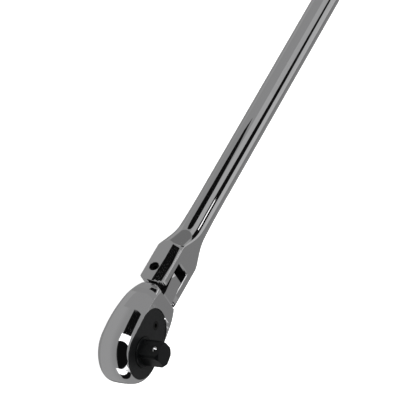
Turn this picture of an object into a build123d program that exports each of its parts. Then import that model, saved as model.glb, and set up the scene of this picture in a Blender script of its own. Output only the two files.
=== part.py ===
from build123d import *
import math
import os

# Flex-head ratchet wrench, half-inch square drive.
# Frame: origin on the drive axis, at the shoulder that a socket seats on.  +Z leaves the square
# drive, +X runs from the drive towards the handle, Y runs across the head.  Millimetres.

# ---- Head housing -------------------------------------------------------------------------
HEAD_RADIUS = 20.0           # round end, in plan
HEAD_FRONT_Z = -0.4          # front face, flush with the tongue
HEAD_BACK_Z = -22.8          # flat back
HEAD_EDGE_ROUND = 4.5        # rounding of the long edges, front and back
SIDE_RADIUS = 230.0          # nearly straight flanks
SIDE_END_X = 28.0            # where the flanks start to close in
NECK_RADIUS = 30.0           # closing curve towards the tongue
NECK_END_X = 46.0            # the closing curve runs on under the cut for the ears
BACK_RISE_START_X = 5.0      # the back curves up from here to the tongue
BACK_RISE_RADIUS = 100.0     # of that curve, seen from the side
SHOULDER_GAP = 10.95         # hinge axis to the housing's shoulder

# ---- Flex joint ---------------------------------------------------------------------------
FLEX_X = 51.3
FLEX_Z = -8.8
REST_FLEX = 6.8              # degrees that the handle is tipped towards the drive side
TONGUE_HALF_WIDTH = 5.4
TONGUE_OVERHANG = 4.0        # past the hinge axis
TONGUE_ROOT = 2.0            # how far the tongue's block reaches back into the housing
TONGUE_BELOW_AXIS = 7.5
TONGUE_BEVEL = 1.2
SLOT_HALF_WIDTH = 6.0
SLOT_DEPTH = 10.4            # past the hinge axis
WASHER_THICKNESS = 0.5
WASHER_RADIUS = 7.5
PIN_RADIUS = 3.0
PIN_HOLE_RADIUS = 3.05
PIN_RECESS = 1.4             # pin ends below the ears' side faces
PIN_SOCKET_FLATS = 3.0
PIN_SOCKET_DEPTH = 2.5

# ---- Handle -------------------------------------------------------------------------------
HANDLE_RADIUS = 8.1
HANDLE_LENGTH = 374.0        # hinge axis to the free end
HANDLE_END_ROUND = 4.0
FORK_HALF_WIDTH = 15.4
FORK_HALF_THICKNESS = 8.5
FORK_EDGE_ROUND = 5.0
EAR_END = 9.6                # the ears' flat ends, from the hinge axis
EAR_CORNER_RADIUS = 5.2      # their corners, seen from the side; they swing clear of the shoulder
NECK_CONE_END = 35.5         # where the fork has closed to the round handle
NECK_CONE_ANGLE = 27.0       # half angle of the cone that trims the fork, degrees
NECK_CONE_TOP = 18.5
NECK_BLEND_RADIUS = 8.0      # hollow between the cone and the handle

# ---- Cover plate, gasket and screw --------------------------------------------------------
PLATE_WIDE_X = -0.97
PLATE_WIDE_RADIUS = 15.6
PLATE_NARROW_X = 14.3
PLATE_NARROW_RADIUS = 14.6
PLATE_TOP_Z = -0.9
PLATE_THICKNESS = 2.0
PLATE_EDGE = 0.3
PLATE_CLEARANCE = 0.05
GASKET_THICKNESS = 0.3
GASKET_INSET = 0.3
SCREW_X = 19.1
SCREW_RADIUS = 1.45
SCREW_HEAD_RADIUS = 2.9
SCREW_HEAD_HEIGHT = 1.5
SCREW_LENGTH = 9.0
SCREW_TIP_ROOM = 1.0         # thread hole past the screw's end
SCREW_SOCKET_FLATS = 2.5
SCREW_SOCKET_DEPTH = 1.1

# ---- Gear cavity --------------------------------------------------------------------------
CAVITY_WIDE_RADIUS = 13.2
CAVITY_NARROW_RADIUS = 12.6
CAVITY_FLOOR_Z = -15.0
BEARING_DEPTH = 3.2
BEARING_CLEARANCE = 0.05

# ---- Drive gear with its square drive -----------------------------------------------------
DRIVE_SQUARE = 12.7
DRIVE_CORNER_ROUND = 2.0
TANG_LENGTH = 13.6
TANG_CHAMFER_HEIGHT = 2.1
TANG_CORNER_RADIUS = 8.2
TANG_END_RADIUS = 6.9
DRIVE_ANGLE = 4.5            # the square's turn from the X axis at rest, degrees
COLLAR_RADIUS = 9.3
COLLAR_EDGE = 0.4
GEAR_TEETH = 36
GEAR_TIP_RADIUS = 12.6
GEAR_ROOT_RADIUS = 11.5
TOOTH_LAND = 1.0             # half width of a tooth's tip and of its root, degrees
GEAR_TOP_Z = -4.0
GEAR_BOTTOM_Z = -14.0
BOSS_RADIUS = 9.0
BOSS_LENGTH = 4.0
THRUST_THICKNESS = 0.8
THRUST_INNER_RADIUS = 9.1
THRUST_OUTER_RADIUS = 12.8
SEAL_WIRE_RADIUS = 0.5
SEAL_RING_RADIUS = 9.85

# ---- Socket-retaining ball ----------------------------------------------------------------
BALL_RADIUS = 2.4
BALL_PROUD = 0.66
BALL_Z = 9.4
BALL_BORE_CLEARANCE = 0.05
BALL_TRAVEL = 0.7
BALL_SPRING_RADIUS = 1.5
BALL_SPRING_WIRE = 0.3
BALL_SPRING_TURNS = 4

# ---- Pawl and its pin ---------------------------------------------------------------------
PAWL_TOP_Z = -4.2
PAWL_BOTTOM_Z = -14.0
PAWL_ROCK = 3.2              # degrees either side of centre
PAWL_INNER_RADIUS = 13.7
PAWL_OUTER_RADIUS = 15.3
PAWL_HALF_ANGLE = 46.0
PAWL_EYE_RADIUS = 4.3
PAWL_BORE_RADIUS = 2.56
PAWL_TOOTH_FIRST = 30.0
PAWL_TOOTH_LAST = 46.0
PAWL_TOOTH_CLEARANCE = 0.12
PAWL_TOOTH_ROOT = 0.8        # how far the teeth's block reaches into the arms
PAWL_HEEL_X = 25.4
PAWL_HEEL_HALF_WIDTH = 4.2
PAWL_HEEL_RADIUS = 6.8
PAWL_PIN_RADIUS = 2.5
PAWL_PIN_BOTTOM_Z = -18.0

# ---- Reversing lever ----------------------------------------------------------------------
LEVER_X = 31.0
LEVER_SWING = 30.0           # degrees either side of centre
LEVER_SHAFT_RADIUS = 4.0
LEVER_BORE_RADIUS = 4.05
LEVER_SHAFT_TOP_Z = -5.3
LEVER_BORE_TOP_Z = -5.0
LEVER_BOSS_RADIUS = 7.5
LEVER_SEAT_GAP = 0.2
LEVER_THICKNESS = 2.8
LEVER_HUB_RADIUS = 6.5
LEVER_REACH = 15.0
LEVER_TIP_RADIUS = 4.0
LEVER_EDGE = 0.6
LEVER_RIB_COUNT = 3
LEVER_RIB_PITCH = 2.2
LEVER_RIB_WIDTH = 0.9
LEVER_RIB_DEPTH = 0.5
PLUNGER_Z = -9.0
PLUNGER_BORE_RADIUS = 1.5
PLUNGER_RADIUS = 1.45
PLUNGER_REACH = 6.5          # tip from the lever's axis
PLUNGER_TAIL = 1.0           # tail from the lever's axis, same side as the tip
PLUNGER_BORE_END = 2.6       # past the lever's axis
PLUNGER_TIP_ROUND = 1.0
PLUNGER_TRAVEL = 0.6
PAWL_SPRING_RADIUS = 1.1
PAWL_SPRING_WIRE = 0.25
PAWL_SPRING_TURNS = 4
WINDOW_HALF_WIDTH = 4.9
WINDOW_START_X = 24.0
WINDOW_TOP_Z = -5.0
WINDOW_BOTTOM_Z = -13.0
CLIP_Z = -6.4
CLIP_THICKNESS = 0.6
CLIP_GROOVE_RADIUS = 3.2
CLIP_OUTER_RADIUS = 4.9
CLIP_RELIEF_RADIUS = 5.2
CLIP_OPENING = 4.4
LEVER_SEAL_Z = -17.0
LEVER_SEAL_RING_RADIUS = 3.5
SMALL_GAP = 0.05             # around seals, springs and the clip


# ---- Shared helpers -----------------------------------------------------------------------
def disc(x, radius, bottom_z, top_z):
    """Upright cylinder on the head's centre line."""
    return Pos(x, 0, bottom_z) * extrude(Circle(radius), top_z - bottom_z)


def two_circle_hull(wide_x, wide_radius, narrow_x, narrow_radius):
    """Outline of two circles on the X axis joined by their common tangents."""
    tangent = math.acos((wide_radius - narrow_radius) / (narrow_x - wide_x))
    tangent_x = math.cos(tangent)
    tangent_y = math.sin(tangent)
    wide_upper = (wide_x + wide_radius * tangent_x, wide_radius * tangent_y)
    wide_lower = (wide_upper[0], -wide_upper[1])
    narrow_upper = (narrow_x + narrow_radius * tangent_x, narrow_radius * tangent_y)
    narrow_lower = (narrow_upper[0], -narrow_upper[1])
    edges = Curve()
    edges += ThreePointArc(wide_lower, (wide_x - wide_radius, 0), wide_upper)
    edges += Line(wide_upper, narrow_upper)
    edges += ThreePointArc(narrow_upper, (narrow_x + narrow_radius, 0), narrow_lower)
    edges += Line(narrow_lower, wide_lower)
    return make_face(edges)


def block(x_from, x_to, half_width, z_from, z_to):
    """Box that is centred across the head."""
    size = Box(x_to - x_from, 2 * half_width, z_to - z_from)
    return Pos((x_from + x_to) / 2, 0, (z_from + z_to) / 2) * size


def hexagon_prism(flats, depth):
    """Hexagon socket cutter, rising from its own origin."""
    return extrude(RegularPolygon(flats / 2, 6, major_radius=False), depth)


def ring(ring_radius, wire_radius, x, z):
    """O-ring around an upright axis."""
    return Pos(x, 0, z) * Torus(ring_radius, wire_radius)


def coil_spring(ring_radius, wire_radius, length, turns):
    """Open coil that rises along Z from its own origin, wire ends included."""
    pitch = (length - 2 * wire_radius) / turns
    centre_line = Pos(0, 0, wire_radius) * Helix(pitch, pitch * turns, ring_radius)
    start = Plane(origin=centre_line @ 0, z_dir=centre_line % 0)
    return sweep(start * Circle(wire_radius), path=centre_line, is_frenet=True)


def turned(shape, x, angle):
    """Shape turned about an upright axis on the centre line."""
    return Pos(x, 0, 0) * Rot(0, 0, angle) * Pos(-x, 0, 0) * shape


# ---- Head housing -------------------------------------------------------------------------
def flank_y(x):
    return HEAD_RADIUS - SIDE_RADIUS + math.sqrt(SIDE_RADIUS ** 2 - x ** 2)


def neck_y(x):
    """Closing curve, tangent to the flank where it starts."""
    lean = math.asin(SIDE_END_X / SIDE_RADIUS)
    centre_x = SIDE_END_X - NECK_RADIUS * math.sin(lean)
    centre_y = flank_y(SIDE_END_X) - NECK_RADIUS * math.cos(lean)
    return centre_y + math.sqrt(NECK_RADIUS ** 2 - (x - centre_x) ** 2)


def head_outline():
    diagonal = HEAD_RADIUS * math.sqrt(0.5)
    neck_middle = (SIDE_END_X + NECK_END_X) / 2
    side = Curve()
    side += ThreePointArc((-HEAD_RADIUS, 0), (-diagonal, diagonal), (0, HEAD_RADIUS))
    side += ThreePointArc((0, HEAD_RADIUS), (SIDE_END_X / 2, flank_y(SIDE_END_X / 2)),
                          (SIDE_END_X, flank_y(SIDE_END_X)))
    side += ThreePointArc((SIDE_END_X, flank_y(SIDE_END_X)), (neck_middle, neck_y(neck_middle)),
                          (NECK_END_X, neck_y(NECK_END_X)))
    other_side = mirror(side, about=Plane.XZ)
    end = Line((NECK_END_X, neck_y(NECK_END_X)), (NECK_END_X, -neck_y(NECK_END_X)))
    return make_face(side + other_side + end)


def long_edges(blank, level_z, height):
    """Edges of the front or the back face that run around the head or along it."""
    chosen = []
    for edge in blank.edges():
        box = edge.bounding_box()
        near_level = abs((box.max.Z + box.min.Z) / 2 - level_z) < height / 3
        upright = box.max.Z - box.min.Z > height / 2
        runs_across = box.max.X - box.min.X < SMALL_GAP
        if near_level and not upright and not runs_across:
            chosen.append(edge)
    return chosen


def head_blank():
    """Teardrop forging: rounded long edges, back rising to the tongue, shoulder cut square."""
    height = HEAD_FRONT_Z - HEAD_BACK_Z
    blank = Pos(0, 0, HEAD_BACK_Z) * extrude(head_outline(), height)
    under_cut = []
    for x in (BACK_RISE_START_X, (BACK_RISE_START_X + NECK_END_X) / 2, NECK_END_X):
        drop = BACK_RISE_RADIUS ** 2 - (x - BACK_RISE_START_X) ** 2
        under_cut.append((x, HEAD_BACK_Z + BACK_RISE_RADIUS - math.sqrt(drop)))
    rise = Curve()
    rise += ThreePointArc(*under_cut)
    rise += Polyline(under_cut[2], (NECK_END_X, HEAD_BACK_Z), under_cut[0])
    blank -= extrude(Plane.XZ * make_face(rise), HEAD_RADIUS, both=True)
    blank = fillet(long_edges(blank, HEAD_FRONT_Z, height), HEAD_EDGE_ROUND)
    blank = fillet(long_edges(blank, HEAD_BACK_Z, height), HEAD_EDGE_ROUND)
    blank -= block(FLEX_X - SHOULDER_GAP, FLEX_X, HEAD_RADIUS, HEAD_BACK_Z, 0)
    return blank


def tongue():
    bottom_z = FLEX_Z - TONGUE_BELOW_AXIS
    end_x = FLEX_X + TONGUE_OVERHANG
    root_x = FLEX_X - SHOULDER_GAP - TONGUE_ROOT
    solid = block(root_x, end_x, TONGUE_HALF_WIDTH, bottom_z, HEAD_FRONT_Z)
    end_face = solid.faces().sort_by(Axis.X)[-1]
    solid = chamfer(end_face.edges().filter_by(Axis.Y), TONGUE_BEVEL)
    hole = Pos(FLEX_X, 0, FLEX_Z) * Rot(90, 0, 0) * Cylinder(PIN_HOLE_RADIUS, 4 * TONGUE_HALF_WIDTH)
    return solid, hole


def plate_pocket_outline(growth):
    return two_circle_hull(PLATE_WIDE_X, PLATE_WIDE_RADIUS + growth,
                           PLATE_NARROW_X, PLATE_NARROW_RADIUS + growth)


def cavity_outline(growth):
    return two_circle_hull(0, CAVITY_WIDE_RADIUS + growth,
                           PLATE_NARROW_X, CAVITY_NARROW_RADIUS + growth)


def head_body():
    solid_tongue, tongue_hole = tongue()
    body = head_blank() + solid_tongue
    body += disc(LEVER_X, LEVER_BOSS_RADIUS, HEAD_BACK_Z, HEAD_BACK_Z + 2 * HEAD_EDGE_ROUND)
    body -= tongue_hole
    seat_z = PLATE_TOP_Z - PLATE_THICKNESS - GASKET_THICKNESS
    body -= Pos(0, 0, seat_z) * extrude(plate_pocket_outline(PLATE_CLEARANCE), -seat_z)
    body -= Pos(0, 0, CAVITY_FLOOR_Z) * extrude(cavity_outline(0), seat_z - CAVITY_FLOOR_Z)
    bearing_z = CAVITY_FLOOR_Z - BEARING_DEPTH
    body -= disc(0, BOSS_RADIUS + BEARING_CLEARANCE, bearing_z, CAVITY_FLOOR_Z)
    body -= disc(SCREW_X, PAWL_PIN_RADIUS, PAWL_PIN_BOTTOM_Z, CAVITY_FLOOR_Z)
    body -= disc(LEVER_X, LEVER_BORE_RADIUS, HEAD_BACK_Z, LEVER_BORE_TOP_Z)
    body -= disc(LEVER_X, CLIP_RELIEF_RADIUS, CLIP_Z - CLIP_THICKNESS, CLIP_Z + CLIP_THICKNESS)
    body -= block(WINDOW_START_X, LEVER_X, WINDOW_HALF_WIDTH, WINDOW_BOTTOM_Z, WINDOW_TOP_Z)
    return body


# ---- Cover plate group --------------------------------------------------------------------
def cover_plate():
    bottom_z = PLATE_TOP_Z - PLATE_THICKNESS
    plate = Pos(0, 0, bottom_z) * extrude(plate_pocket_outline(0), PLATE_THICKNESS)
    top_face = plate.faces().sort_by(Axis.Z)[-1]
    plate = chamfer(top_face.edges(), PLATE_EDGE)
    opening_radius = SEAL_RING_RADIUS - SEAL_WIRE_RADIUS / 2
    plate -= disc(0, opening_radius, bottom_z, PLATE_TOP_Z)
    groove_radius = SEAL_RING_RADIUS + SEAL_WIRE_RADIUS + SMALL_GAP
    groove_half = SEAL_WIRE_RADIUS + SMALL_GAP
    middle_z = PLATE_TOP_Z - PLATE_THICKNESS / 2
    plate -= disc(0, groove_radius, middle_z - groove_half, middle_z + groove_half)
    plate -= screw_envelope(PLATE_CLEARANCE)
    return plate


def screw_envelope(growth):
    """Countersunk screw without its socket, grown for the hole that takes it."""
    head = Cone(SCREW_RADIUS + growth, SCREW_HEAD_RADIUS + growth, SCREW_HEAD_HEIGHT)
    head = Pos(SCREW_X, 0, PLATE_TOP_Z - SCREW_HEAD_HEIGHT / 2) * head
    shank_top = PLATE_TOP_Z - SCREW_HEAD_HEIGHT / 2
    shank = disc(SCREW_X, SCREW_RADIUS + growth, PLATE_TOP_Z - SCREW_LENGTH, shank_top)
    return head + shank


def cover_screw():
    socket = hexagon_prism(SCREW_SOCKET_FLATS, SCREW_SOCKET_DEPTH)
    return screw_envelope(0) - Pos(SCREW_X, 0, PLATE_TOP_Z - SCREW_SOCKET_DEPTH) * socket


def cover_gasket():
    outline = plate_pocket_outline(-GASKET_INSET) - cavity_outline(GASKET_INSET)
    bottom_z = PLATE_TOP_Z - PLATE_THICKNESS - GASKET_THICKNESS
    return Pos(0, 0, bottom_z) * extrude(outline, GASKET_THICKNESS)


def drive_seal():
    return ring(SEAL_RING_RADIUS, SEAL_WIRE_RADIUS, 0, PLATE_TOP_Z - PLATE_THICKNESS / 2)


# ---- Drive gear ---------------------------------------------------------------------------
def gear_outline(growth):
    """Symmetrical ratchet teeth, with a tooth on the X axis."""
    pitch = 360 / GEAR_TEETH
    corners = []
    for tooth in range(GEAR_TEETH):
        middle = tooth * pitch
        for radius, offset in ((GEAR_TIP_RADIUS, -TOOTH_LAND), (GEAR_TIP_RADIUS, TOOTH_LAND),
                               (GEAR_ROOT_RADIUS, pitch / 2 - TOOTH_LAND),
                               (GEAR_ROOT_RADIUS, pitch / 2 + TOOTH_LAND)):
            angle = math.radians(middle + offset)
            reach = radius + growth
            corners.append((reach * math.cos(angle), reach * math.sin(angle)))
    return make_face(Polyline(*corners, close=True))


def tang():
    square = extrude(RectangleRounded(DRIVE_SQUARE, DRIVE_SQUARE, DRIVE_CORNER_ROUND), TANG_LENGTH)
    chamfer_z = TANG_LENGTH - TANG_CHAMFER_HEIGHT
    envelope = disc(0, TANG_CORNER_RADIUS, 0, chamfer_z)
    end_cone = Cone(TANG_CORNER_RADIUS, TANG_END_RADIUS, TANG_CHAMFER_HEIGHT)
    envelope += Pos(0, 0, chamfer_z + TANG_CHAMFER_HEIGHT / 2) * end_cone
    return square & envelope


def ball_centre_reach():
    return DRIVE_SQUARE / 2 + BALL_PROUD - BALL_RADIUS


def ball_frame():
    """Origin on the drive axis at the ball's height, local Z out through the ball."""
    return Rot(0, 0, DRIVE_ANGLE + 90) * Pos(0, 0, BALL_Z) * Rot(0, 90, 0)


def drive_gear():
    teeth = Pos(0, 0, GEAR_BOTTOM_Z) * extrude(gear_outline(0), GEAR_TOP_Z - GEAR_BOTTOM_Z)
    collar = disc(0, COLLAR_RADIUS, GEAR_TOP_Z, 0)
    collar = chamfer(collar.edges().sort_by(Axis.Z)[-1], COLLAR_EDGE)
    boss = disc(0, BOSS_RADIUS, GEAR_BOTTOM_Z - BOSS_LENGTH, GEAR_BOTTOM_Z)
    gear = teeth + collar + boss + Rot(0, 0, DRIVE_ANGLE) * tang()
    bore_radius = BALL_RADIUS + BALL_BORE_CLEARANCE
    reach = ball_centre_reach()
    bore = Pos(0, 0, reach) * Sphere(bore_radius)
    bore += extrude(Circle(bore_radius), reach)
    bore += Pos(0, 0, -reach / 2) * extrude(Circle(bore_radius - BALL_SPRING_WIRE), reach / 2)
    return gear - ball_frame() * bore


def tang_ball():
    return ball_frame() * Pos(0, 0, ball_centre_reach()) * Sphere(BALL_RADIUS)


def tang_ball_spring():
    reach = ball_centre_reach()
    base = -reach / 2 + SMALL_GAP
    top = reach - BALL_RADIUS - BALL_TRAVEL + BALL_SPRING_WIRE
    spring = coil_spring(BALL_SPRING_RADIUS, BALL_SPRING_WIRE, top - base, BALL_SPRING_TURNS)
    return ball_frame() * Pos(0, 0, base) * spring


def gear_thrust_washer():
    gap = (GEAR_BOTTOM_Z - CAVITY_FLOOR_Z - THRUST_THICKNESS) / 2
    outline = Circle(THRUST_OUTER_RADIUS) - Circle(THRUST_INNER_RADIUS)
    return Pos(0, 0, CAVITY_FLOOR_Z + gap) * extrude(outline, THRUST_THICKNESS)


# ---- Pawl ---------------------------------------------------------------------------------
def sector(inner_radius, outer_radius, first_angle, last_angle):
    """Part of a ring around the drive axis."""
    reach = 2 * outer_radius
    middle = math.radians((first_angle + last_angle) / 2)
    corners = [(0, 0)]
    for angle in (math.radians(first_angle), middle, math.radians(last_angle)):
        corners.append((reach * math.cos(angle), reach * math.sin(angle)))
    wedge = make_face(Polyline(*corners, close=True))
    return (Circle(outer_radius) - Circle(inner_radius)) & wedge


def pawl():
    arms = sector(PAWL_INNER_RADIUS, PAWL_OUTER_RADIUS, -PAWL_HALF_ANGLE, PAWL_HALF_ANGLE)
    teeth = sector(GEAR_ROOT_RADIUS + PAWL_TOOTH_CLEARANCE, PAWL_INNER_RADIUS + PAWL_TOOTH_ROOT,
                   PAWL_TOOTH_FIRST, PAWL_TOOTH_LAST)
    teeth -= gear_outline(PAWL_TOOTH_CLEARANCE)
    upper_teeth = turned(teeth, SCREW_X, -PAWL_ROCK)
    lower_teeth = mirror(upper_teeth, about=Plane.XZ)
    eye = Pos(SCREW_X, 0) * Circle(PAWL_EYE_RADIUS)
    heel_length = PAWL_HEEL_X - PAWL_OUTER_RADIUS + 1
    heel = Pos(PAWL_HEEL_X - heel_length / 2, 0) * Rectangle(heel_length, 2 * PAWL_HEEL_HALF_WIDTH)
    heel -= Pos(LEVER_X, 0) * Circle(PAWL_HEEL_RADIUS)
    outline = arms + upper_teeth + lower_teeth + eye + heel
    outline -= Pos(SCREW_X, 0) * Circle(PAWL_BORE_RADIUS)
    solid = Pos(0, 0, PAWL_BOTTOM_Z) * extrude(outline, PAWL_TOP_Z - PAWL_BOTTOM_Z)
    return turned(solid, SCREW_X, -PAWL_ROCK)


def pawl_pin():
    top_z = PLATE_TOP_Z - PLATE_THICKNESS
    pin = disc(SCREW_X, PAWL_PIN_RADIUS, PAWL_PIN_BOTTOM_Z, top_z)
    thread_radius = SCREW_RADIUS + PLATE_CLEARANCE
    thread_bottom = PLATE_TOP_Z - SCREW_LENGTH - SCREW_TIP_ROOM
    return pin - disc(SCREW_X, thread_radius, thread_bottom, top_z)


# ---- Reversing lever ----------------------------------------------------------------------
def plunger_frame():
    """Origin on the lever's axis, local Z along the plunger, at rest."""
    return Pos(LEVER_X, 0, PLUNGER_Z) * Rot(0, 0, 180 + LEVER_SWING) * Rot(0, 90, 0)


def reversing_lever():
    seat_z = HEAD_BACK_Z - LEVER_SEAT_GAP
    thumb = two_circle_hull(0, LEVER_HUB_RADIUS, LEVER_REACH - LEVER_TIP_RADIUS, LEVER_TIP_RADIUS)
    thumb = extrude(thumb, LEVER_THICKNESS)
    outer_face = thumb.faces().sort_by(Axis.Z)[0]
    thumb = fillet(outer_face.edges(), LEVER_EDGE)
    for index in range(LEVER_RIB_COUNT):
        rib_x = LEVER_REACH - LEVER_TIP_RADIUS + LEVER_RIB_PITCH * (index - 1)
        groove = Box(LEVER_RIB_WIDTH, 3 * LEVER_TIP_RADIUS, 2 * LEVER_RIB_DEPTH)
        thumb -= Pos(rib_x, 0, 0) * groove
    lever = Pos(LEVER_X, 0, seat_z - LEVER_THICKNESS) * Rot(0, 0, 180 + LEVER_SWING) * thumb
    lever += disc(LEVER_X, LEVER_SHAFT_RADIUS, seat_z, LEVER_SHAFT_TOP_Z)
    clip_groove = Circle(LEVER_SHAFT_RADIUS) - Circle(CLIP_GROOVE_RADIUS)
    lever -= Pos(LEVER_X, 0, CLIP_Z - CLIP_THICKNESS / 2) * extrude(clip_groove, CLIP_THICKNESS)
    seal_half = SEAL_WIRE_RADIUS + SMALL_GAP
    seal_groove = Circle(LEVER_SHAFT_RADIUS) - Circle(LEVER_SEAL_RING_RADIUS - seal_half)
    lever -= Pos(LEVER_X, 0, LEVER_SEAL_Z - seal_half) * extrude(seal_groove, 2 * seal_half)
    bore_length = PLUNGER_BORE_END + LEVER_SHAFT_RADIUS
    bore = Pos(0, 0, -PLUNGER_BORE_END) * extrude(Circle(PLUNGER_BORE_RADIUS), bore_length)
    return lever - plunger_frame() * bore


def pawl_plunger():
    rod = extrude(Circle(PLUNGER_RADIUS), PLUNGER_REACH - PLUNGER_TAIL)
    rod = fillet(rod.edges().sort_by(Axis.Z)[-1], PLUNGER_TIP_ROUND)
    return plunger_frame() * Pos(0, 0, PLUNGER_TAIL) * rod


def pawl_spring():
    base = -PLUNGER_BORE_END + SMALL_GAP
    top = PLUNGER_TAIL - PLUNGER_TRAVEL - SMALL_GAP
    spring = coil_spring(PAWL_SPRING_RADIUS, PAWL_SPRING_WIRE, top - base, PAWL_SPRING_TURNS)
    return plunger_frame() * Pos(0, 0, base) * spring


def lever_seal():
    return ring(LEVER_SEAL_RING_RADIUS, SEAL_WIRE_RADIUS, LEVER_X, LEVER_SEAL_Z)


def lever_clip():
    """Open retaining clip that is pushed on sideways from the gear cavity."""
    clip_half = CLIP_THICKNESS / 2 - SMALL_GAP
    outline = Circle(CLIP_OUTER_RADIUS) - Circle(CLIP_GROOVE_RADIUS + SMALL_GAP)
    outline -= Pos(CLIP_OUTER_RADIUS, 0) * Rectangle(2 * CLIP_OUTER_RADIUS, CLIP_OPENING)
    return Pos(LEVER_X, 0, CLIP_Z - clip_half) * extrude(outline, 2 * clip_half)


# ---- Handle and flex joint ----------------------------------------------------------------
def at_hinge(shape):
    """From the handle's own frame (X along it, origin on the hinge axis) to the part's frame."""
    return Pos(FLEX_X, 0, FLEX_Z) * Rot(0, -REST_FLEX, 0) * shape


def fork_block():
    return block(-EAR_END, NECK_CONE_END, FORK_HALF_WIDTH, -FORK_HALF_THICKNESS, FORK_HALF_THICKNESS)


def fork_blank():
    """Slotted end: a flat bar with rounded long edges that a cone closes to the round handle."""
    bar = fork_block()
    bar = fillet(bar.edges().filter_by(Axis.X), FORK_EDGE_ROUND)
    lean = math.radians(NECK_CONE_ANGLE)
    blend = []
    for angle in (0, lean / 2, lean):
        blend.append((NECK_CONE_END - NECK_BLEND_RADIUS * math.sin(angle),
                      HANDLE_RADIUS + NECK_BLEND_RADIUS * (1 - math.cos(angle))))
    cone_top_x = blend[2][0] - (NECK_CONE_TOP - blend[2][1]) / math.tan(lean)
    profile = Curve()
    profile += ThreePointArc(*blend)
    profile += Polyline(blend[2], (cone_top_x, NECK_CONE_TOP), (-EAR_END, NECK_CONE_TOP),
                        (-EAR_END, 0), (NECK_CONE_END, 0), blend[0])
    return bar & revolve(make_face(profile), Axis.X)


def handle():
    side_view = fork_block()
    end_corners = side_view.edges().filter_by(Axis.Y).group_by(Axis.X)[0]
    fork = fork_blank() & fillet(end_corners, EAR_CORNER_RADIUS)
    rod = Rot(0, 90, 0) * Cylinder(HANDLE_RADIUS, HANDLE_LENGTH - NECK_CONE_END)
    rod = Pos((HANDLE_LENGTH + NECK_CONE_END) / 2, 0, 0) * rod
    rod = fillet(rod.edges().sort_by(Axis.X)[-1], HANDLE_END_ROUND)
    body = fork + rod
    slot_reach = 2 * FORK_HALF_THICKNESS
    body -= block(-2 * EAR_END, SLOT_DEPTH, SLOT_HALF_WIDTH, -slot_reach, slot_reach)
    body -= Rot(90, 0, 0) * Cylinder(PIN_HOLE_RADIUS, 3 * FORK_HALF_WIDTH)
    return at_hinge(body)


def flex_pin():
    half_length = FORK_HALF_WIDTH - PIN_RECESS
    pin = Rot(-90, 0, 0) * Cylinder(PIN_RADIUS, 2 * half_length)
    socket = Rot(-90, 0, 0) * hexagon_prism(PIN_SOCKET_FLATS, PIN_SOCKET_DEPTH)
    for side in (-1, 1):
        inner_y = side * half_length - max(side, 0) * PIN_SOCKET_DEPTH
        pin -= Pos(0, inner_y, 0) * socket
    return at_hinge(pin)


def flex_washer(side):
    gap = (SLOT_HALF_WIDTH - TONGUE_HALF_WIDTH - WASHER_THICKNESS) / 2
    middle_y = side * (TONGUE_HALF_WIDTH + gap + WASHER_THICKNESS / 2)
    outline = Circle(WASHER_RADIUS) - Circle(PIN_HOLE_RADIUS)
    washer = extrude(outline, WASHER_THICKNESS / 2, both=True)
    return at_hinge(Pos(0, middle_y, 0) * Rot(90, 0, 0) * washer)


# ---- Write every piece --------------------------------------------------------------------
PIECES = {
    "head_body": head_body(),
    "cover_plate": cover_plate(),
    "cover_gasket": cover_gasket(),
    "cover_screw": cover_screw(),
    "drive_seal": drive_seal(),
    "drive_gear": drive_gear(),
    "gear_thrust_washer": gear_thrust_washer(),
    "tang_ball": tang_ball(),
    "tang_ball_spring": tang_ball_spring(),
    "pawl": pawl(),
    "pawl_pin": pawl_pin(),
    "reversing_lever": reversing_lever(),
    "pawl_plunger": pawl_plunger(),
    "pawl_spring": pawl_spring(),
    "lever_seal": lever_seal(),
    "lever_clip": lever_clip(),
    "handle": handle(),
    "flex_pin": flex_pin(),
    "flex_washer_left": flex_washer(1),
    "flex_washer_right": flex_washer(-1),
}

os.makedirs("parts", exist_ok=True)
for name, piece in PIECES.items():
    export_step(piece, "parts/" + name + ".step")
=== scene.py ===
import math

import bmesh
import bpy
from mathutils import Matrix, Vector


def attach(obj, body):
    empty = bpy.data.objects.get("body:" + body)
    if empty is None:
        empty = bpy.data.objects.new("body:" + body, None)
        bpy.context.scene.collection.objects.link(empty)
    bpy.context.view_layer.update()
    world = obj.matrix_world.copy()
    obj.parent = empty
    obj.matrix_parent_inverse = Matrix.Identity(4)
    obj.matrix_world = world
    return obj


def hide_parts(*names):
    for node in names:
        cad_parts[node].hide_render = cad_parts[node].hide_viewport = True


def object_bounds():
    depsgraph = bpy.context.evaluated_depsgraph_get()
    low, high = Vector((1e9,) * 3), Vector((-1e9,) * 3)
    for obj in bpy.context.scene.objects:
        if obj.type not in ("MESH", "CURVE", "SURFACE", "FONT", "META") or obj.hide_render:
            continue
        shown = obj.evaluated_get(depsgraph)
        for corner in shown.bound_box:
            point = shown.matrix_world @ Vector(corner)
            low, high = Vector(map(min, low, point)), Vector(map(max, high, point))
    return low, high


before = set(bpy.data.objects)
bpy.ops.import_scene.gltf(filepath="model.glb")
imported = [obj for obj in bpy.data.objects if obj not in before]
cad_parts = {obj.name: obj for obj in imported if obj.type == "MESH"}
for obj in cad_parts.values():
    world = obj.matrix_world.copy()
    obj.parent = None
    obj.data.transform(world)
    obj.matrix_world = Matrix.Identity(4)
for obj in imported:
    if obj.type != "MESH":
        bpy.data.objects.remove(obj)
cad_low, cad_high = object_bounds()
MM = 0.001

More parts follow.
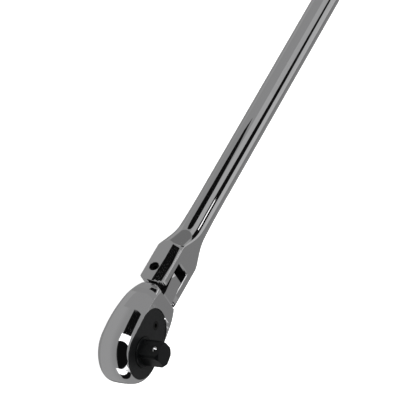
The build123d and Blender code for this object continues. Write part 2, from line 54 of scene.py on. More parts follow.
# ---- Dimensions, millimetres unless named otherwise, in the part's own frame ---------------
HEAD_RADIUS = 20.0
HEAD_FRONT_Z = -0.4
HEAD_BACK_Z = -22.8
SIDE_RADIUS = 230.0
SIDE_END_X = 28.0
NECK_RADIUS = 30.0
SHOULDER_X = 40.35
BACK_RISE_START_X = 5.0
BACK_RISE_RADIUS = 100.0
SIDE_LEAN = 6.0              # how far the nearly flat side leans at its ends, degrees
CORNER_RADIUS = 8.0          # rounding between the side and the front face
CREASE_ANGLE = 68.0          # where that rounding stops at a soft crease, degrees
CREASE_RADIUS = 1.1
BACK_ROUND = 4.6
FLEX_X = 51.3
FLEX_Z = -8.8
REST_FLEX = 6.8
TONGUE_HALF_WIDTH = 5.4
TONGUE_OVERHANG = 4.0
TONGUE_BELOW_AXIS = 7.5
TONGUE_BEVEL = 1.2
TONGUE_ROOT = 6.0            # length of the tongue buried in the housing
TONGUE_ROOT_START = 0.3      # the root starts to narrow this far inside the shoulder
PIN_HOLE_RADIUS = 3.05
PLATE_WIDE = (-0.97, 15.65)
PLATE_NARROW = (14.3, 14.65)
POCKET_Z = -3.2
CAVITY_WIDE = (0.0, 13.2)
CAVITY_NARROW = (14.3, 12.6)
CAVITY_FLOOR_Z = -15.0
BEARING_RADIUS = 9.05
BEARING_END_Z = -18.2
PAWL_PIN_X = 19.1
PAWL_PIN_SEAT_RADIUS = 2.5
PAWL_PIN_SEAT_Z = -18.0
LEVER_X = 31.0
LEVER_BORE_RADIUS = 4.05
LEVER_BORE_END_Z = -5.0
LEVER_BOSS_RADIUS = 7.5      # thicker wall round the lever's bore
LEVER_BOSS_HEIGHT = 9.0
CLIP_RELIEF_RADIUS = 5.2
CLIP_RELIEF_Z = (-7.0, -5.8)
WINDOW_START_X = 24.0        # opening between the gear's cavity and the lever's bore
WINDOW_HALF_WIDTH = 4.9
WINDOW_LOW_Z = -13.0
PAST = 1.0                   # how far a cutter reaches past the face that it opens
HEAD_EDGE = 0.35             # small rounding of the sharp edges
HANDLE_EDGE = 0.3
HANDLE_RADIUS = 8.1
HANDLE_LENGTH = 374.0
HANDLE_END_ROUND = 4.0
FORK_HALF_WIDTH = 15.4
FORK_HALF_THICKNESS = 8.5
FORK_BACK_ROUND = 5.0
EAR_END = 9.6
EAR_FRONT_CORNER = 5.2
EAR_BACK_CORNER = 6.5
SLOT_HALF_WIDTH = 6.0
SLOT_DEPTH = 10.4
SLOT_FLARE = 0.45            # bevel where the slot meets the fork's faces
NECK_WIDE_END = 33.5         # where the neck's sides would meet the round bar, seen from the front
NECK_WIDE_SLOPE = 0.51
NECK_THICK_END = 31.3        # the same, seen from the side
NECK_THICK_SLOPE = 0.28
NECK_CREASE = 0.5            # softness of the edge between the neck and the fork's faces
NECK_HOLLOW = 5.0            # softness of the hollow between the neck and the round bar
NECK_START = 12
NECK_END = 44                # from here on the neck settles to the round bar
NECK_SETTLE = 15


# ---- Mesh helpers -------------------------------------------------------------------------
def mesh_object(name, points, faces):
    """New object from points in millimetres."""
    mesh = bpy.data.meshes.new(name)
    mesh.from_pydata([Vector(p) * MM for p in points], [], faces)
    mesh.update()
    made = bpy.data.objects.new(name, mesh)
    bpy.context.scene.collection.objects.link(made)
    return made


def solid(name, points, faces):
    """New closed object from points in millimetres, with faces turned outwards."""
    made = mesh_object(name, points, faces)
    work = bmesh.new()
    work.from_mesh(made.data)
    bmesh.ops.remove_doubles(work, verts=work.verts, dist=0.001 * MM)
    bmesh.ops.recalc_face_normals(work, faces=work.faces)
    work.to_mesh(made.data)
    work.free()
    return made


def loft(name, loops):
    """Closed solid through loops that all have the same number of points; flat ends."""
    count = len(loops[0])
    points = [p for loop in loops for p in loop]
    faces = []
    for row in range(len(loops) - 1):
        for i in range(count):
            j = (i + 1) % count
            faces.append((row * count + i, row * count + j,
                          (row + 1) * count + j, (row + 1) * count + i))
    faces.append(tuple(range(count)))
    faces.append(tuple(range((len(loops) - 1) * count, len(loops) * count)))
    return solid(name, points, faces)


def prism(name, outline, low_z, high_z):
    return loft(name, [[(x, y, low_z) for x, y in outline], [(x, y, high_z) for x, y in outline]])


def circle(x, y, radius, count=96):
    return [(x + radius * math.cos(2 * math.pi * i / count),
             y + radius * math.sin(2 * math.pi * i / count)) for i in range(count)]


def two_circle_hull(wide, narrow, steps=64):
    """Outline of two circles on the X axis joined by their common tangents."""
    tangent = math.acos((wide[1] - narrow[1]) / (narrow[0] - wide[0]))
    outline = []
    for i in range(steps + 1):
        angle = -tangent + 2 * tangent * i / steps
        outline.append((narrow[0] + narrow[1] * math.cos(angle), narrow[1] * math.sin(angle)))
    for i in range(steps + 1):
        angle = tangent + (2 * math.pi - 2 * tangent) * i / steps
        outline.append((wide[0] + wide[1] * math.cos(angle), wide[1] * math.sin(angle)))
    return outline


def combine(target, cutters, operation):
    """Applies one boolean after another and deletes the cutters."""
    for cutter in cutters:
        step = target.modifiers.new("step", "BOOLEAN")
        step.operation = operation
        step.solver = "EXACT"
        step.object = cutter
        bpy.context.view_layer.objects.active = target
        bpy.ops.object.modifier_apply(modifier=step.name)
        bpy.data.objects.remove(cutter)


def turn_to(target, matrix):
    target.data.transform(matrix)
    target.data.update()


def soften(target, width, segments=3, sharp=35.0):
    """Small rounded edges, a clean-up of the mesh, then shading that keeps the flats flat."""
    bevel = target.modifiers.new("edges", "BEVEL")
    bevel.width = width * MM
    bevel.segments = segments
    bevel.limit_method = "ANGLE"
    bevel.angle_limit = math.radians(sharp)
    bpy.context.view_layer.objects.active = target
    bpy.ops.object.modifier_apply(modifier=bevel.name)
    mend(target)
    shade(target)


def mend(target):
    """Takes slivers and crumbs out of a cut and bevelled mesh, and closes what they leave open."""
    work = bmesh.new()
    work.from_mesh(target.data)
    merge = 0.004 * MM
    fewest_faces = 40
    bmesh.ops.remove_doubles(work, verts=work.verts, dist=merge)
    bmesh.ops.dissolve_degenerate(work, edges=work.edges, dist=merge)
    bmesh.ops.triangulate(work, faces=[face for face in work.faces if len(face.verts) > 4])
    same_corners = {}
    for face in work.faces:
        same_corners.setdefault(frozenset(face.verts), []).append(face)
    doubled = [face for faces in same_corners.values() if len(faces) > 1 for face in faces]
    bmesh.ops.delete(work, geom=doubled, context="FACES_ONLY")
    crumbs = [face for island in islands(work) if len(island) < fewest_faces for face in island]
    bmesh.ops.delete(work, geom=crumbs, context="FACES")
    loose = [vert for vert in work.verts if not vert.link_faces]
    bmesh.ops.delete(work, geom=loose, context="VERTS")
    rims = [edge for edge in work.edges if edge.is_boundary]
    bmesh.ops.holes_fill(work, edges=rims, sides=0)
    work.to_mesh(target.data)
    work.free()


def islands(work):
    """Faces of a mesh grouped by what hangs together."""
    groups = []
    left = set(work.faces)
    while left:
        reached = [left.pop()]
        for face in reached:
            for edge in face.edges:
                for other in edge.link_faces:
                    if other in left:
                        left.remove(other)
                        reached.append(other)
        groups.append(reached)
    return groups


def shade(target):
    for face in target.data.polygons:
        face.use_smooth = True
    normals = target.modifiers.new("normals", "WEIGHTED_NORMAL")
    normals.mode = "FACE_AREA_WITH_ANGLE"
    normals.weight = 80
    normals.keep_sharp = True


def finish_faces(target, material, chosen):
    """Gives a second material to the faces that chosen(centre in millimetres, normal) picks."""
    target.data.materials.append(material)
    for face in target.data.polygons:
        if chosen(face.center / MM, face.normal):
            face.material_index = len(target.data.materials) - 1


ALONG_Y = Matrix.Rotation(math.radians(90), 4, "X")
TO_HINGE = Matrix.Translation(Vector((FLEX_X, 0, FLEX_Z)) * MM)
HINGE = TO_HINGE @ Matrix.Rotation(-math.radians(REST_FLEX), 4, "Y")


# ---- Head housing -------------------------------------------------------------------------
def back_z(x):
    if x < BACK_RISE_START_X:
        return HEAD_BACK_Z
    run = x - BACK_RISE_START_X
    return HEAD_BACK_Z + BACK_RISE_RADIUS - math.sqrt(BACK_RISE_RADIUS ** 2 - run ** 2)


def head_stations():
    """Points down one side of the plan outline, from the round tip to the shoulder, with normals."""
    stations = []
    flank_end = math.asin(SIDE_END_X / SIDE_RADIUS)
    flank_centre_y = HEAD_RADIUS - SIDE_RADIUS
    for i in range(73):
        angle = math.pi - math.pi / 2 * i / 72
        normal = (math.cos(angle), math.sin(angle))
        stations.append(((HEAD_RADIUS * normal[0], HEAD_RADIUS * normal[1]), normal))
    for i in range(1, 25):
        angle = flank_end * i / 24
        normal = (math.sin(angle), math.cos(angle))
        stations.append(((SIDE_RADIUS * normal[0], flank_centre_y + SIDE_RADIUS * normal[1]), normal))
    centre_x = (SIDE_RADIUS - NECK_RADIUS) * math.sin(flank_end)
    centre_y = flank_centre_y + (SIDE_RADIUS - NECK_RADIUS) * math.cos(flank_end)
    neck_end = math.asin((SHOULDER_X - centre_x) / NECK_RADIUS)
    for i in range(1, 25):
        angle = flank_end + (neck_end - flank_end) * i / 24
        normal = (math.sin(angle), math.cos(angle))
        stations.append(((centre_x + NECK_RADIUS * normal[0], centre_y + NECK_RADIUS * normal[1]),
                         normal))
    return stations


def side_profile(front, back, lean, back_round):
    """(inset, z) pairs from the front face's edge, round the side, to the back face's edge.

    Four arcs that follow on from each other: crease, front rounding, side, back rounding.
    """
    crease = math.radians(CREASE_ANGLE)
    used = CREASE_RADIUS * (1 - math.sin(crease)) + CORNER_RADIUS * (math.sin(crease) - math.sin(lean))
    used += back_round * (1 - math.sin(lean))
    side_radius = (front - back - used) / (2 * math.sin(lean))
    arcs = ((CREASE_RADIUS, math.pi / 2, crease, 6), (CORNER_RADIUS, crease, lean, 22),
            (side_radius, lean, -lean, 8), (back_round, -lean, -math.pi / 2, 16))
    out, z = 0.0, front
    walked = [(out, z)]
    for radius, start, end, steps in arcs:
        centre_out = out - radius * math.cos(start)
        centre_z = z - radius * math.sin(start)
        for i in range(1, steps + 1):
            angle = start + (end - start) * i / steps
            out = centre_out + radius * math.cos(angle)
            z = centre_z + radius * math.sin(angle)
            walked.append((out, z))
    widest = max(out for out, z in walked)
    return [(widest - out, z) for out, z in walked]


def head_loops():
    loops = []
    for (x, y), (normal_x, normal_y) in head_stations():
        upper = []
        for inset, z in side_profile(HEAD_FRONT_Z, back_z(x), math.radians(SIDE_LEAN), BACK_ROUND):
            upper.append((x - inset * normal_x, y - inset * normal_y, z))
        lower = [(px, -py, pz) for px, py, pz in reversed(upper)]
        loops.append(upper + lower)
    return loops


def hidden_head_face(centre, normal):
    """Flanks and end of the tongue, the shoulder beside it and the bores' walls: faces given painted
    shade.
    """
    near, facing = 0.2, 0.7
    faces_out = abs(normal.y) > facing or normal.x > facing
    beside_tongue = centre.x > SHOULDER_X - near and faces_out
    in_pocket = math.hypot(centre.x - PLATE_WIDE[0], centre.y) < PLATE_WIDE[1] - near
    return beside_tongue or (in_pocket and HEAD_BACK_Z + 1 < centre.z < HEAD_FRONT_Z - 1)


def tongue_block():
    """Tongue with bevelled corners, and a root that narrows inside the housing."""
    low, high = FLEX_Z - TONGUE_BELOW_AXIS, HEAD_FRONT_Z
    end_x = FLEX_X + TONGUE_OVERHANG
    root_x = SHOULDER_X - TONGUE_ROOT
    root_start_x = SHOULDER_X - TONGUE_ROOT_START
    narrowing = TONGUE_ROOT / 4
    side = [(root_x, low + narrowing), (root_start_x, low), (end_x - TONGUE_BEVEL, low),
            (end_x, low + TONGUE_BEVEL), (end_x, high - TONGUE_BEVEL), (end_x - TONGUE_BEVEL, high),
            (root_start_x, high), (root_x, high - narrowing)]
    return loft("tongue", [[(x, y, z) for x, z in side]
                           for y in (-TONGUE_HALF_WIDTH, TONGUE_HALF_WIDTH)])


def head_cutters():
    """Pocket for the plate, cavity for gear and pawl, and the bores."""
    window = [(WINDOW_START_X, -WINDOW_HALF_WIDTH), (LEVER_X, -WINDOW_HALF_WIDTH),
              (LEVER_X, WINDOW_HALF_WIDTH), (WINDOW_START_X, WINDOW_HALF_WIDTH)]
    above_floor = CAVITY_FLOOR_Z + PAST
    seat = circle(PAWL_PIN_X, 0, PAWL_PIN_SEAT_RADIUS, 48)
    bore = circle(LEVER_X, 0, LEVER_BORE_RADIUS, 64)
    pin_hole = prism("pin_hole", circle(0, 0, PIN_HOLE_RADIUS, 64), -10, 10)
    turn_to(pin_hole, TO_HINGE @ ALONG_Y)
    return [
        prism("pocket", two_circle_hull(PLATE_WIDE, PLATE_NARROW), POCKET_Z, 2 * PAST),
        prism("cavity", two_circle_hull(CAVITY_WIDE, CAVITY_NARROW), CAVITY_FLOOR_Z, PAST),
        prism("bearing", circle(0, 0, BEARING_RADIUS), BEARING_END_Z, above_floor),
        prism("pin_seat", seat, PAWL_PIN_SEAT_Z, above_floor),
        prism("lever_bore", bore, HEAD_BACK_Z - PAST, LEVER_BORE_END_Z),
        prism("clip_relief", circle(LEVER_X, 0, CLIP_RELIEF_RADIUS, 64), *CLIP_RELIEF_Z),
        prism("window", window, WINDOW_LOW_Z, LEVER_BORE_END_Z),
        pin_hole,
    ]


def head_shell(chrome, painted_shade):
    shell = loft("head_shell", head_loops())
    boss = prism("boss", circle(LEVER_X, 0, LEVER_BOSS_RADIUS), HEAD_BACK_Z,
                 HEAD_BACK_Z + LEVER_BOSS_HEIGHT)
    combine(shell, [tongue_block(), boss], "UNION")
    combine(shell, head_cutters(), "DIFFERENCE")
    shell.data.materials.append(chrome)
    # Painted shade: the tongue, the shoulder beside it and the bores' walls get near-black steel.
    finish_faces(shell, painted_shade, hidden_head_face)
    soften(shell, HEAD_EDGE)
    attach(shell, "head")
    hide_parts("head_body")


# ---- Handle -------------------------------------------------------------------------------
def soft_least(a, b, softness):
    """Smaller of two lengths, with a rounded change from one to the other."""
    blend = max(softness - abs(a - b), 0) / softness
    return min(a, b) - blend * blend * softness / 4


def fork_section(steps):
    """Barrel-sided flat bar section as (angle, radius) about the handle's axis."""
    quarter = []
    for inset, z in side_profile(FORK_HALF_THICKNESS, -FORK_HALF_THICKNESS, math.radians(1.5),
                                 FORK_BACK_ROUND):
        quarter.append((FORK_HALF_WIDTH - inset, z))
    sampled = []
    for i in range(steps):
        angle = 2 * math.pi * i / steps
        sampled.append((angle, section_radius(quarter, angle)))
    return sampled


def section_radius(profile, angle):
    """Distance from the axis to the section's outline in one direction."""
    across = abs(math.cos(angle))
    up = math.sin(angle)
    flat_edge = profile[0][0]
    back_flat_edge = profile[-1][0]
    if up > 0 and up * flat_edge >= across * FORK_HALF_THICKNESS:
        return FORK_HALF_THICKNESS / up
    if up < 0 and -up * back_flat_edge >= across * FORK_HALF_THICKNESS:
        return -FORK_HALF_THICKNESS / up
    for (w0, z0), (w1, z1) in zip(profile, profile[1:]):
        side0 = z0 * across - w0 * up
        side1 = z1 * across - w1 * up
        if side0 >= 0 >= side1:
            share = side0 / (side0 - side1)
            return math.hypot(w0 + (w1 - w0) * share, z0 + (z1 - z0) * share)
    return FORK_HALF_THICKNESS


def closing(x, end, slope):
    """Half width of the neck, closing on the round bar's radius with a soft hollow."""
    gap = (end - x) * slope
    return HANDLE_RADIUS + (gap + math.sqrt(gap * gap + NECK_HOLLOW)) / 2


def neck_radius(x, angle):
    wide = closing(x, NECK_WIDE_END, NECK_WIDE_SLOPE)
    thick = closing(x, NECK_THICK_END, NECK_THICK_SLOPE)
    return 1 / math.hypot(math.cos(angle) / wide, math.sin(angle) / thick)


def handle_loops():
    steps = 240
    section = fork_section(steps)
    end_start = HANDLE_LENGTH - HANDLE_END_ROUND
    stations = [-EAR_END - 1 + 1.2 * i for i in range(18)]
    stations += [NECK_START + 0.5 * i for i in range(64)]
    stations += [NECK_END + 1.0 * i for i in range(12)]
    stations += [60, 80, 120, 180, 260, 340, end_start]
    loops = []
    for x in stations:
        if x >= NECK_END + NECK_SETTLE:
            loops.append([(x, HANDLE_RADIUS * math.cos(a), HANDLE_RADIUS * math.sin(a))
                          for a, _ in section])
            continue
        settle = max(0.0, (x - NECK_END) / NECK_SETTLE)
        loop = []
        for angle, flat in section:
            neck = neck_radius(x, angle)
            neck += (HANDLE_RADIUS - neck) * settle
            radius = soft_least(flat, neck, NECK_CREASE)
            loop.append((x, radius * math.cos(angle), radius * math.sin(angle)))
        loops.append(loop)
    for i in range(1, 13):
        angle = math.pi / 2 * i / 12
        x = end_start + HANDLE_END_ROUND * math.sin(angle)
        radius = HANDLE_RADIUS - HANDLE_END_ROUND + HANDLE_END_ROUND * math.cos(angle)
        loops.append([(x, radius * math.cos(a), radius * math.sin(a)) for a, _ in section])
    return loops


def slot_cutter():
    """Slot between the ears, flared at both faces for a small bevel."""
    face, past, open_x = FORK_HALF_THICKNESS, 4, -20
    wide = SLOT_FLARE + past
    loops = []
    for z, grow in ((-face - past, wide), (-face + SLOT_FLARE, 0), (face - SLOT_FLARE, 0),
                    (face + past, wide)):
        half = SLOT_HALF_WIDTH + grow
        end = SLOT_DEPTH + grow
        loops.append([(open_x, -half, z), (end, -half, z), (end, half, z), (open_x, half, z)])
    return loft("slot", loops)


def ear_trimmer():
    """What lies outside the ears' ends: flat, with rounded corners seen from the side."""
    front, outer_z, outer_x, outer_y = FORK_HALF_THICKNESS, 14, -30, 20
    outline = [(0, outer_z), (outer_x, outer_z), (outer_x, -outer_z), (0, -outer_z), (0, -front)]
    corners = ((-front + EAR_BACK_CORNER, EAR_BACK_CORNER, 1.5),
               (front - EAR_FRONT_CORNER, EAR_FRONT_CORNER, 1.0))
    for centre_z, radius, start in corners:
        for i in range(17):
            angle = math.pi * (start - 0.5 * i / 16)
            outline.append((radius - EAR_END + radius * math.cos(angle),
                            centre_z + radius * math.sin(angle)))
    outline.append((0, front))
    return loft("ear_trimmer", [[(x, y, z) for x, z in outline] for y in (-outer_y, outer_y)])


def hidden_handle_face(centre, _):
    """Walls and bottom of the slot and the pin hole, in the handle's own frame: faces given painted
    shade.
    """
    near = 0.1
    in_slot = centre.x < SLOT_DEPTH + near and abs(centre.y) < SLOT_HALF_WIDTH + near
    in_hole = math.hypot(centre.x, centre.z) < PIN_HOLE_RADIUS + near
    return in_slot or in_hole


def handle_bar(chrome, painted_shade):
    bar = loft("handle_bar", handle_loops())
    hole = prism("hole", circle(0, 0, PIN_HOLE_RADIUS, 64), -20, 20)
    turn_to(hole, ALONG_Y)
    combine(bar, [ear_trimmer(), slot_cutter(), hole], "DIFFERENCE")
    bar.data.materials.append(chrome)
    # Painted shade: the slot's walls and bottom and the pin hole get near-black steel.
    finish_faces(bar, painted_shade, hidden_handle_face)
    turn_to(bar, HINGE)
    soften(bar, HANDLE_EDGE)
    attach(bar, "handle")
    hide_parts("handle")


# ---- Materials ----------------------------------------------------------------------------
class Nodes:
    """Short-hand for building a material's node tree."""

    def __init__(self, name):
        self.material = bpy.data.materials.new(name)
        self.material.use_nodes = True
        self.tree = self.material.node_tree
        self.shader = self.tree.nodes["Principled BSDF"]

    def add(self, kind, **values):
        node = self.tree.nodes.new(kind)
        for key, value in values.items():
            if key in node.inputs:
                node.inputs[key].default_value = value
            else:
                setattr(node, key, value)
        return node

    def link(self, source, target):
        self.tree.links.new(source, target)

    def position(self):
        return self.add("ShaderNodeTexCoord").outputs["Object"]

    def noise(self, scale, detail=4.0, roughness=0.55):
        node = self.add("ShaderNodeTexNoise", Scale=scale, Detail=detail, Roughness=roughness)
        self.link(self.position(), node.inputs["Vector"])
        return node.outputs["Fac"]

    def ramp(self, source, low, high, from_low=0.3, from_high=0.7):
        node = self.add("ShaderNodeMapRange")
        node.inputs["From Min"].default_value = from_low
        node.inputs["From Max"].default_value = from_high
        node.inputs["To Min"].default_value = low
        node.inputs["To Max"].default_value = high
        self.link(source, node.inputs["Value"])
        return node.outputs["Result"]

    def bump(self, height, strength, distance):
        node = self.add("ShaderNodeBump", Strength=strength, Distance=distance)
        self.link(height, node.inputs["Height"])
        self.link(node.outputs["Normal"], self.shader.inputs["Normal"])


def chrome_material():
    made = Nodes("polished_chrome")
    made.shader.inputs["Base Color"].default_value = (0.93, 0.93, 0.94, 1)
    made.shader.inputs["Metallic"].default_value = 1.0
    smudge = made.noise(38.0, 5.0)
    made.link(made.ramp(smudge, 0.025, 0.075), made.shader.inputs["Roughness"])
    made.bump(made.noise(900.0, 2.0), 0.02, 0.00002)
    return made.material


def black_material(name, colour, low, high, grain, gloss=0.5):
    made = Nodes(name)
    made.shader.inputs["Specular IOR Level"].default_value = gloss
    cloud = made.noise(180.0, 6.0)
    shade_node = made.add("ShaderNodeMix", data_type="RGBA")
    shade_node.inputs["A"].default_value = tuple(c * 0.75 for c in colour) + (1,)
    shade_node.inputs["B"].default_value = tuple(c * 1.3 for c in colour) + (1,)
    made.link(cloud, shade_node.inputs["Factor"])
    made.link(shade_node.outputs["Result"], made.shader.inputs["Base Color"])
    made.link(made.ramp(made.noise(420.0, 5.0), low, high), made.shader.inputs["Roughness"])
    made.bump(made.noise(grain, 6.0, 0.7), 0.25, 0.00005)
    return made.material


def steel_material(name, colour, roughness):
    made = Nodes(name)
    made.shader.inputs["Metallic"].default_value = 1.0
    made.shader.inputs["Base Color"].default_value = colour + (1,)
    made.link(made.ramp(made.noise(350.0, 4.0), roughness * 0.7, roughness * 1.4),
              made.shader.inputs["Roughness"])
    made.bump(made.noise(1500.0, 3.0), 0.05, 0.00002)
    return made.material


def glow_material(name, colour, strength, roughness=0.5, specular=0.5):
    """Plain self-lit finish for the floor, the walls and the screens."""
    made = Nodes(name)
    made.shader.inputs["Base Color"].default_value = colour
    made.shader.inputs["Roughness"].default_value = roughness
    made.shader.inputs["Specular IOR Level"].default_value = specular
    made.shader.inputs["Emission Color"].default_value = (1, 1, 1, 1)
    made.shader.inputs["Emission Strength"].default_value = strength
    return made.material


def dress(names, material):
    for name in names:
        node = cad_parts[name]
        node.data.materials.clear()
        node.data.materials.append(material)


# ---- Studio -------------------------------------------------------------------------------
BLACK = 0.004
WHITE = 1.6
ALL_ROUND = (-181, 181)


class World:
    """World of plain light and dark panels, placed by direction, that the chrome mirrors."""

    def __init__(self, level):
        self.world = bpy.data.worlds.new("studio")
        bpy.context.scene.world = self.world
        self.world.use_nodes = True
        self.tree = self.world.node_tree
        self.tree.nodes.clear()
        coordinate = self.tree.nodes.new("ShaderNodeTexCoord")
        split = self.tree.nodes.new("ShaderNodeSeparateXYZ")
        self.direction = coordinate.outputs["Generated"]
        self.tree.links.new(self.direction, split.inputs[0])
        x, y, z = split.outputs
        self.elevation = self.degrees(self.math("ARCSINE", z))
        self.azimuth = self.math("WRAP", self.degrees(self.math("ARCTAN2", y, x)), 360.0, 0.0)
        self.latitude = self.degrees(self.math("ARCSINE", x))
        self.roll = self.degrees(self.math("ARCTAN2", z, y))
        value = self.tree.nodes.new("ShaderNodeValue")
        value.outputs[0].default_value = level
        self.level = value.outputs[0]

    def math(self, operation, *sources):
        node = self.tree.nodes.new("ShaderNodeMath")
        node.operation = operation
        for slot, source in zip(node.inputs, sources):
            if isinstance(source, (int, float)):
                slot.default_value = source
            else:
                self.tree.links.new(source, slot)
        return node.outputs[0]

    def away_from(self, direction):
        """Angle between the world's direction and the one opposite to the given one."""
        turned = self.tree.nodes.new("ShaderNodeVectorMath")
        turned.operation = "DOT_PRODUCT"
        turned.inputs[1].default_value = -direction
        self.tree.links.new(self.direction, turned.inputs[0])
        return self.degrees(self.math("ARCCOSINE", turned.outputs["Value"]))

    def degrees(self, source):
        return self.math("DEGREES", source)

    def inside(self, angle, low, high, edge):
        """1 between low and high, fading over edge degrees outside them."""
        rise = self.tree.nodes.new("ShaderNodeMapRange")
        rise.interpolation_type = "SMOOTHSTEP"
        fall = self.tree.nodes.new("ShaderNodeMapRange")
        fall.interpolation_type = "SMOOTHSTEP"
        for node, start, end in ((rise, low - edge, low), (fall, high + edge, high)):
            node.inputs["From Min"].default_value = start
            node.inputs["From Max"].default_value = end
            self.tree.links.new(angle, node.inputs["Value"])
        return self.math("MULTIPLY", rise.outputs[0], fall.outputs[0])

    def panel(self, across, span, along, reach, level, edge=1.0):
        mask = self.math("MULTIPLY", self.inside(across, *span, edge), self.inside(along, *reach, edge))
        change = self.math("SUBTRACT", level, self.level)
        self.level = self.math("MULTIPLY_ADD", mask, change, self.level)

    def finish(self):
        emit = self.tree.nodes.new("ShaderNodeBackground")
        output = self.tree.nodes.new("ShaderNodeOutputWorld")
        self.tree.links.new(self.level, emit.inputs["Color"])
        self.tree.links.new(emit.outputs[0], output.inputs[0])


def studio_world():
    world = World(0.25)
    behind = world.away_from(view_axes()[2])
    world.panel(world.latitude, (50, 90), world.roll, (-180, 80), 0.15, 6.0)
    world.panel(world.latitude, (50, 90), world.roll, (80, 180), 0.30, 6.0)
    world.panel(world.elevation, (-46, -34), world.roll, ALL_ROUND, 0.30, 10.0)
    world.panel(behind, (-1, 22), world.roll, ALL_ROUND, 0.14, 14.0)
    world.panel(world.azimuth, (293, 316), world.elevation, (18, 45), 0.19, 12.0)
    world.panel(world.azimuth, (92, 187), world.elevation, (-22, 62), BLACK)
    world.panel(world.azimuth, (187, 210), world.elevation, (-25, 45), WHITE)
    world.panel(world.azimuth, (210, 230), world.elevation, (-24, 38), BLACK)
    world.panel(world.latitude, (-1, 24), world.roll, (-22, 63), WHITE)
    world.panel(world.latitude, (24, 32.5), world.roll, (-14, 58), BLACK)
    world.panel(world.latitude, (-60, 34), world.roll, (116, 128), 0.7)
    world.finish()


def reflector(name, radius, stations, level):
    """Curved glowing screen round the handle, seen only in reflections.

    A station is a place along the handle, then the screen's two edges as angles about its axis.
    """
    steps = 16
    points = []
    for along, low, high in stations:
        for i in range(steps + 1):
            angle = math.radians(low + (high - low) * i / steps)
            points.append((along, radius * math.cos(angle), radius * math.sin(angle)))
    faces = []
    for row in range(len(stations) - 1):
        for i in range(steps):
            start = row * (steps + 1) + i
            faces.append((start, start + 1, start + steps + 2, start + steps + 1))
    made = mesh_object(name, points, faces)
    turn_to(made, HINGE)
    made.data.materials.append(glow_material(name, (0, 0, 0, 1), level, specular=0.0))
    made.visible_camera = False
    made.visible_diffuse = False
    made.visible_shadow = False
    made.visible_transmission = False


def handle_reflectors():
    """Screens close to the ears, others along the bar, and the highest ones further out."""
    ear_start, ear_end = -3.2, 26
    reflector("screen_shoulder", 22, [(-16, -30, 70), (-6.5, -30, 70)], 0.24)
    reflector("screen_flank", 32, [(-25, -24, 90), (ear_start, -24, 90)], 0.255)
    reflector("screen_behind", 32, [(ear_start, -90, 90), (38, -90, 90)], 0.25)
    reflector("screen_ears", 30, [(ear_start, 2, 55), (14, 8, 62), (ear_end, 7, 53)], BLACK)
    reflector("screen_crease", 30, [(ear_start, 70, 73), (ear_end, 68, 71)], 0.9)
    low, high = 111, 238
    reflector("screen_left", 175, [(low, -22, 24), (145, -18, 23), (187, -14.5, 13.8),
                                   (201, -12.6, 6.4), (212, -1, 0)], BLACK)
    reflector("screen_right", 175, [(low, 57, 93), (187, 61, 93), (high, 64.6, 91.5)], BLACK)
    reflector("screen_line", 170, [(low + 1, 69, 77), (138, 70, 76)], 1.5)
    reflector("screen_outer", 177, [(low, -60, 24), (high, -60, 24)], 0.25)
    reflector("screen_middle", 177, [(low, 24, 66), (high, 24, 66)], 0.36)
    reflector("screen_side", 177, [(low, 90, 128), (high, 90, 128)], 0.42)
    far_low, far_high = 462, 760
    reflector("screen_outer_high", 602, [(far_low, -60, 23), (far_high, -60, 23)], 0.25)
    reflector("screen_middle_high", 602, [(far_low, 23, 66), (far_high, 23, 66)], 0.34)
    reflector("screen_side_high", 602, [(far_low, 82, 128), (far_high, 82, 128)], 0.40)
    reflector("screen_right_high", 600, [(far_low, 65, 93), (583, 65, 83), (far_high, 65, 79)],
              BLACK)


def floor(paper):
    """Plain pale floor, just below the object, which the chrome doesn't mirror."""
    half = 12000.0
    low_z = cad_low.z / MM - 0.2
    corners = [(-half, -half), (half, -half), (half, half), (-half, half)]
    made = mesh_object("floor", [(x, y, low_z) for x, y in corners], [(0, 1, 2, 3)])
    made.data.materials.append(paper)
    made.visible_glossy = False
    made.visible_diffuse = False


def backdrop(paper):
    """Plain pale walls and ceiling round the floor, which only the camera sees."""
    half, top = 11900.0, 12000.0
    low_z = cad_low.z / MM - 0.1
    corners = [(-half, -half), (half, -half), (half, half), (-half, half)]
    points = [(x, y, z) for z in (low_z, top) for x, y in corners]
    walls = [(i, (i + 1) % 4, (i + 1) % 4 + 4, i + 4) for i in range(4)]
    made = mesh_object("backdrop", points, walls + [(4, 5, 6, 7)])
    made.data.materials.append(paper)
    made.visible_glossy = False
    made.visible_diffuse = False
    made.visible_shadow = False
    made.visible_transmission = False


def soft_light(name, direction, distance, size, energy):
    light = bpy.data.lights.new(name, "AREA")
    light.shape = "DISK"
    light.size = size
    light.energy = energy
    made = bpy.data.objects.new(name, light)
    bpy.context.scene.collection.objects.link(made)
    made.location = Vector(direction).normalized() * distance
    made.rotation_mode = "QUATERNION"
    made.rotation_quaternion = Vector(direction).to_track_quat("Z", "Y")
    made.visible_glossy = False


# ---- Camera -------------------------------------------------------------------------------
VIEW_AZIMUTH = 124.54        # where the camera stands, in degrees from +X about +Z
VIEW_ELEVATION = 30.89
VIEW_ROLL = 94.34            # its turn about its own line of sight, in degrees
VIEW_DISTANCE = 1.1905       # from VIEW_CENTRE, in metres
VIEW_SIDE = 0.03815          # from there to the picture's right, in metres
VIEW_RISE = 0.08586          # and towards the picture's top, in metres
VIEW_CENTRE = (0, 0, -0.001)
LENS = 173.08
SENSOR = 36.0


def view_axes():
    """Directions of the picture's right and top, and from the object back to the camera."""
    azimuth, elevation, roll = map(math.radians, (VIEW_AZIMUTH, VIEW_ELEVATION, VIEW_ROLL))
    level = math.cos(elevation)
    back = Vector((level * math.cos(azimuth), level * math.sin(azimuth), math.sin(elevation)))
    unrolled = Vector((-math.sin(azimuth), math.cos(azimuth), 0))
    right = unrolled * math.cos(roll) + back.cross(unrolled) * math.sin(roll)
    return right, back.cross(right), back


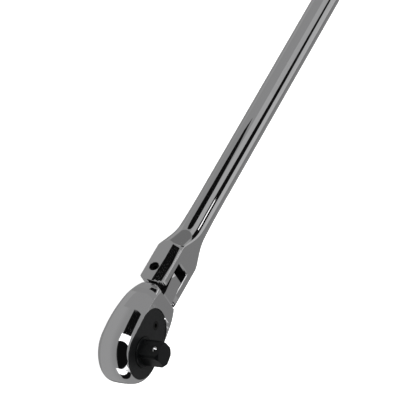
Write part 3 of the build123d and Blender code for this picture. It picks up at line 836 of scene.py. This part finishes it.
def camera():
    data = bpy.data.cameras.new("camera")
    data.lens = LENS
    data.sensor_width = SENSOR
    data.clip_start = 0.05
    made = bpy.data.objects.new("camera", data)
    bpy.context.scene.collection.objects.link(made)
    right, up, back = view_axes()
    place = Vector(VIEW_CENTRE) + right * VIEW_SIDE + up * VIEW_RISE + back * VIEW_DISTANCE
    axes = Matrix((right, up, back)).transposed()
    made.matrix_world = Matrix.Translation(place) @ axes.to_4x4()
    bpy.context.scene.camera = made


# ---- Build --------------------------------------------------------------------------------
camera()
studio_world()
handle_reflectors()
paper = glow_material("pale_paper", (0.9, 0.9, 0.9, 1), 0.9, roughness=0.9)
floor(paper)
backdrop(paper)
soft_light("key", (-0.2, 0.5, 1.0), 1.6, 1.2, 12.0)
bpy.context.scene.view_settings.view_transform = "Standard"

chrome = chrome_material()
phosphate = black_material("black_phosphate", (0.008, 0.0085, 0.009), 0.34, 0.52, 2600.0, 0.38)
drive_black = black_material("drive_phosphate", (0.004, 0.0045, 0.005), 0.28, 0.42, 2000.0, 0.25)
oxide = black_material("black_oxide", (0.004, 0.004, 0.004), 0.3, 0.5, 2000.0, 0.2)
# Painted shade: near-black steel on the slot's walls, the bores and round the tongue, where shade
# falls.
painted_shade = black_material("painted_shade_steel", (0.004, 0.004, 0.005), 0.5, 0.7, 900.0, 0.25)
rubber = black_material("seal_rubber", (0.02, 0.02, 0.02), 0.6, 0.8, 1200.0)
bearing_steel = steel_material("bright_steel", (0.86, 0.86, 0.87), 0.06)
tool_steel = steel_material("hardened_steel", (0.42, 0.42, 0.44), 0.28)
spring_steel = steel_material("spring_steel", (0.5, 0.5, 0.52), 0.3)
bronze = steel_material("bronze_washer", (0.12, 0.08, 0.045), 0.5)

head_shell(chrome, painted_shade)
handle_bar(chrome, painted_shade)
dress(["head_body", "handle", "reversing_lever"], chrome)
dress(["cover_plate"], phosphate)
dress(["drive_gear"], drive_black)
dress(["cover_screw", "flex_pin"], oxide)
dress(["drive_seal", "lever_seal", "cover_gasket"], rubber)
dress(["tang_ball"], bearing_steel)
dress(["pawl", "pawl_pin", "pawl_plunger"], tool_steel)
dress(["tang_ball_spring", "pawl_spring", "lever_clip"], spring_steel)
dress(["gear_thrust_washer", "flex_washer_left", "flex_washer_right"], bronze)
